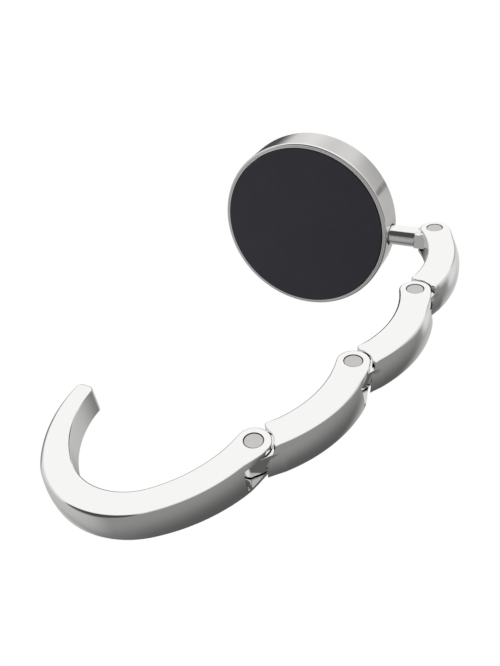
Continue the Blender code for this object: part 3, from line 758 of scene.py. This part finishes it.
class Shader:
    """The nodes of one material, added by short calls."""

    def __init__(self, name, colour, metallic, roughness):
        self.material = bpy.data.materials.new(name)
        self.material.use_nodes = True
        self.tree = self.material.node_tree
        self.principled = self.tree.nodes["Principled BSDF"]
        self.principled.inputs["Base Color"].default_value = (*colour, 1)
        self.principled.inputs["Metallic"].default_value = metallic
        self.principled.inputs["Roughness"].default_value = roughness
        self.coords = self.tree.nodes.new("ShaderNodeTexCoord").outputs["Object"]

    def noise(self, scale, detail=2, stretch=(1, 1, 1)):
        """A noise pattern on object coordinates, stretched along some axes."""
        mapping = self.tree.nodes.new("ShaderNodeMapping")
        mapping.inputs["Scale"].default_value = stretch
        self.tree.links.new(self.coords, mapping.inputs["Vector"])
        node = self.tree.nodes.new("ShaderNodeTexNoise")
        node.inputs["Scale"].default_value = scale
        node.inputs["Detail"].default_value = detail
        self.tree.links.new(mapping.outputs["Vector"], node.inputs["Vector"])
        return node.outputs["Fac"]

    def rings(self, scale):
        """Fine rings about the Z axis."""
        node = self.tree.nodes.new("ShaderNodeTexWave")
        node.wave_type = "RINGS"
        node.rings_direction = "Z"
        node.inputs["Scale"].default_value = scale
        node.inputs["Distortion"].default_value = RING_WOBBLE
        node.inputs["Detail"].default_value = 2
        self.tree.links.new(self.coords, node.inputs["Vector"])
        return node.outputs["Fac"]

    def above(self, low, high):
        """Goes from 0 at one height of the object to 1 at another."""
        split = self.tree.nodes.new("ShaderNodeSeparateXYZ")
        self.tree.links.new(self.coords, split.inputs["Vector"])
        node = self.tree.nodes.new("ShaderNodeMapRange")
        node.inputs["From Min"].default_value = low
        node.inputs["From Max"].default_value = high
        self.tree.links.new(split.outputs["Z"], node.inputs["Value"])
        return node.outputs["Result"]

    def greater(self, first, second):
        """The greater of two patterns."""
        node = self.tree.nodes.new("ShaderNodeMath")
        node.operation = "MAXIMUM"
        self.tree.links.new(first, node.inputs[0])
        self.tree.links.new(second, node.inputs[1])
        return node.outputs["Value"]

    def between(self, pattern, low, high, name):
        """Spreads a pattern between two values of a socket."""
        node = self.tree.nodes.new("ShaderNodeMapRange")
        node.inputs["From Min"].default_value = NOISE_RANGE[0]
        node.inputs["From Max"].default_value = NOISE_RANGE[1]
        node.inputs["To Min"].default_value = low
        node.inputs["To Max"].default_value = high
        self.tree.links.new(pattern, node.inputs["Value"])
        self.tree.links.new(node.outputs["Result"], self.principled.inputs[name])

    def tint(self, pattern, low, high):
        """Spreads a pattern between two base colours."""
        node = self.tree.nodes.new("ShaderNodeMix")
        node.data_type = "RGBA"
        for number, colour in zip(MIX_COLOURS, (low, high)):
            node.inputs[number].default_value = (*colour, 1)
        self.tree.links.new(pattern, node.inputs[0])
        self.tree.links.new(node.outputs[MIX_RESULT], self.principled.inputs["Base Color"])

    def bump(self, layers):
        """Bumps, each a pattern with its depth, laid one over the other."""
        normal = None
        for pattern, depth in layers:
            node = self.tree.nodes.new("ShaderNodeBump")
            node.inputs["Distance"].default_value = depth
            self.tree.links.new(pattern, node.inputs["Height"])
            if normal:
                self.tree.links.new(normal, node.inputs["Normal"])
            normal = node.outputs["Normal"]
        self.tree.links.new(normal, self.principled.inputs["Normal"])


def polished_chrome():
    """Bright plating over a die casting, with the casting's faint waves and a few dull patches."""
    shader = Shader("polished_chrome", (0.92, 0.915, 0.905), 1, 0.08)
    shader.between(shader.noise(260), 0.06, 0.13, "Roughness")
    shader.bump([(shader.noise(110, 1), 0.00003), (shader.noise(1400), 0.0000006)])
    return shader.material


def polished_nickel():
    """The disc's plating, darker and warmer than the chain's, with painted reflection streaks
    along its axis and a painted highlight at the lip.
    """
    shader = Shader("polished_nickel", (0.64, 0.63, 0.61), 1, 0.10)
    # Painted reflections: light and dark streaks along the disc's axis in the base colour
    reflection_streaks = shader.noise(95, 1, (1, 1, 0.1))
    # Painted highlight: the base colour turns bright from the rim's lower round down to the lip
    lip_highlight = shader.above(RIM_SETBACK + 2 * RIM_LOWER_ROUND, RIM_SETBACK + RIM_LOWER_ROUND)
    shader.tint(shader.greater(reflection_streaks, lip_highlight), (0.38, 0.37, 0.36), (0.88, 0.87, 0.85))
    shader.between(shader.noise(220), 0.08, 0.14, "Roughness")
    shader.bump([(shader.noise(90, 1), 0.00003), (shader.noise(1400), 0.0000006)])
    return shader.material


def satin_pin_steel():
    """Pin ends faced off on a lathe and left satin."""
    shader = Shader("satin_pin_steel", (0.60, 0.59, 0.575), 1, 0.32)
    shader.between(shader.noise(2600), 0.26, 0.42, "Roughness")
    shader.bump([(shader.noise(5200), 0.000004)])
    return shader.material


def pad_rubber():
    """Smooth black rubber with a fine grain and a blue cast."""
    shader = Shader("pad_rubber", (0.020, 0.020, 0.030), 0, 0.42)
    shader.tint(shader.noise(60, 3), (0.016, 0.016, 0.023), (0.023, 0.024, 0.035))
    shader.between(shader.noise(420, 3), 0.38, 0.50, "Roughness")
    shader.bump([(shader.noise(3600, 3), 0.000012)])
    return shader.material


def ringed_plate():
    """The top plate: plated, with the faint rings of its turning."""
    shader = Shader("ringed_plate", (0.84, 0.84, 0.84), 1, 0.16)
    rings = shader.rings(1100)
    shader.between(rings, 0.13, 0.24, "Roughness")
    shader.bump([(rings, 0.000003)])
    return shader.material


def rolled_steel():
    """Sheet steel with its rolling grain along X."""
    shader = Shader("rolled_steel", (0.55, 0.56, 0.57), 1, 0.35)
    grain = shader.noise(900, 3, (0.1, 1, 1))
    shader.between(grain, 0.28, 0.46, "Roughness")
    shader.bump([(grain, 0.000006)])
    return shader.material


def adhesive_film():
    """Milky double-sided film."""
    shader = Shader("adhesive_film", (0.80, 0.78, 0.70), 0, 0.6)
    shader.tint(shader.noise(300), (0.77, 0.75, 0.66), (0.83, 0.81, 0.74))
    return shader.material


def natural_nylon():
    """Washer nylon."""
    shader = Shader("natural_nylon", (0.85, 0.85, 0.82), 0, 0.5)
    shader.between(shader.noise(900), 0.42, 0.58, "Roughness")
    return shader.material


def add_camera():
    """The camera at the photograph's place."""
    data = bpy.data.cameras.new("camera")
    width, height = IMAGE_SIZE
    data.sensor_width = SENSOR_WIDTH
    data.lens = FOCAL_PIXELS * data.sensor_width / height
    data.shift_x = (width / 2 - CENTRE_PIXEL[0]) / height
    data.shift_y = (CENTRE_PIXEL[1] - height / 2) / height
    data.clip_start, data.clip_end = CAMERA_RANGE
    obj = bpy.data.objects.new("camera", data)
    axes = Matrix((CAMERA_RIGHT, -CAMERA_DOWN, -CAMERA_AHEAD)).transposed()
    obj.matrix_world = Matrix.Translation(CAMERA_PLACE) @ axes.to_4x4()
    bpy.context.scene.collection.objects.link(obj)
    bpy.context.scene.camera = obj
    bpy.context.scene.view_settings.view_transform = "Standard"


def sky_direction(azimuth, height):
    """A direction: its azimuth turns from +X to +Z, and its height rises towards -Y."""
    turn = math.radians(azimuth)
    rise = math.radians(height)
    return Vector(
        (math.cos(rise) * math.cos(turn), -math.sin(rise), math.cos(rise) * math.sin(turn))
    )


def add_world():
    """White to the camera, a studio with soft cards to the metal, and even light on the rest."""
    world = bpy.data.worlds.new("studio")
    bpy.context.scene.world = world
    world.use_nodes = True
    tree = world.node_tree
    nodes, links = tree.nodes, tree.links
    direction = nodes.new("ShaderNodeTexCoord").outputs["Generated"]
    paths = nodes.new("ShaderNodeLightPath").outputs
    brightness = None
    for azimuth, height, core, edge, level in CARDS:
        dot = nodes.new("ShaderNodeVectorMath")
        dot.operation = "DOT_PRODUCT"
        dot.inputs[1].default_value = sky_direction(azimuth, height)
        links.new(direction, dot.inputs[0])
        spread = nodes.new("ShaderNodeMapRange")
        spread.interpolation_type = "SMOOTHSTEP"
        spread.inputs["From Min"].default_value = math.cos(math.radians(core + edge))
        spread.inputs["From Max"].default_value = math.cos(math.radians(core))
        links.new(dot.outputs["Value"], spread.inputs["Value"])
        mix = nodes.new("ShaderNodeMix")
        mix.inputs[MIX_NUMBERS[0]].default_value = ROOM_GREY
        mix.inputs[MIX_NUMBERS[1]].default_value = level
        links.new(spread.outputs["Result"], mix.inputs[0])
        if brightness:
            links.new(brightness, mix.inputs[MIX_NUMBERS[0]])
        brightness = mix.outputs[0]
    seen = nodes.new("ShaderNodeMix")
    seen.inputs[MIX_NUMBERS[0]].default_value = 1
    links.new(paths["Is Glossy Ray"], seen.inputs[0])
    links.new(brightness, seen.inputs[MIX_NUMBERS[1]])
    backdrop = nodes.new("ShaderNodeMath")
    backdrop.operation = "ADD"
    backdrop.use_clamp = True
    links.new(paths["Is Camera Ray"], backdrop.inputs[0])
    either = nodes.new("ShaderNodeMath")
    either.operation = "ADD"
    links.new(paths["Is Glossy Ray"], either.inputs[0])
    links.new(paths["Is Transmission Ray"], either.inputs[1])
    links.new(either.outputs[0], backdrop.inputs[1])
    strength = nodes.new("ShaderNodeMix")
    strength.inputs[MIX_NUMBERS[0]].default_value = ROOM_LIGHT
    links.new(backdrop.outputs[0], strength.inputs[0])
    links.new(seen.outputs[0], strength.inputs[MIX_NUMBERS[1]])
    background = nodes["Background"]
    background.inputs["Color"].default_value = (1, 1, 1, 1)
    links.new(strength.outputs[0], background.inputs["Strength"])


def add_lamp(name, azimuth, height, distance, size, power):
    """A soft square lamp that looks at the object's middle."""
    toward = sky_direction(azimuth, height)
    data = bpy.data.lights.new(name, "AREA")
    data.size = size
    data.energy = power
    obj = bpy.data.objects.new(name, data)
    centre = (cad_box[0] + cad_box[1]) / 2
    obj.location = centre + toward * distance
    obj.rotation_euler = toward.to_track_quat("Z", "Y").to_euler()
    bpy.context.scene.collection.objects.link(obj)
    obj.visible_glossy = False


def add_floor():
    """A plain pale floor below the camera."""
    builder = bmesh.new()
    bmesh.ops.create_grid(builder, size=FLOOR_SIZE / 2)
    bmesh.ops.translate(builder, verts=builder.verts, vec=(0, 0, STUDIO_FLOOR))
    shader = Shader("pale_floor", (0.86, 0.86, 0.86), 0, 0.9)
    floor = add_mesh("floor", builder, shader.material)
    floor.visible_glossy = False


def dress_hidden_nodes():
    """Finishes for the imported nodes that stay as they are."""
    steel = rolled_steel()
    film = adhesive_film()
    finishes = {
        "base_plate": steel,
        "stud_clip": steel,
        "pad_adhesive": film,
        "inlay_adhesive": film,
        "stud_washer": natural_nylon(),
    }
    for name, finish in finishes.items():
        node = frame["nodes"][name]
        node.data.materials.clear()
        node.data.materials.append(finish)


def main():
    """Makes every piece in order, and then the studio."""
    chrome = polished_chrome()
    pin_steel = satin_pin_steel()
    above, below = chain_places()
    add_case(polished_nickel())
    add_plate(
        "pad_disc", PAD_RADIUS, 0, PAD_THICKNESS, PAD_ROUND, pad_rubber(),
        "grip_pad",
    )
    add_plate(
        "top_plate", INLAY_RADIUS, INLAY_BOTTOM, INLAY_TOP, INLAY_ROUND, ringed_plate(),
        "top_inlay",
    )
    add_stud(above[0], below[0], chrome)
    for number in range(1, len(below)):
        add_link(number, below[number - 1], above[number], below[number], chrome)
        add_pin(number, below[number - 1], f"link_{number}", pin_steel)
    add_hook(below[-1], chrome)
    add_pin(len(below), below[-1], "hook", pin_steel)
    dress_hidden_nodes()
    add_camera()
    add_world()
    for lamp in LAMPS:
        add_lamp(*lamp)
    add_floor()


main()
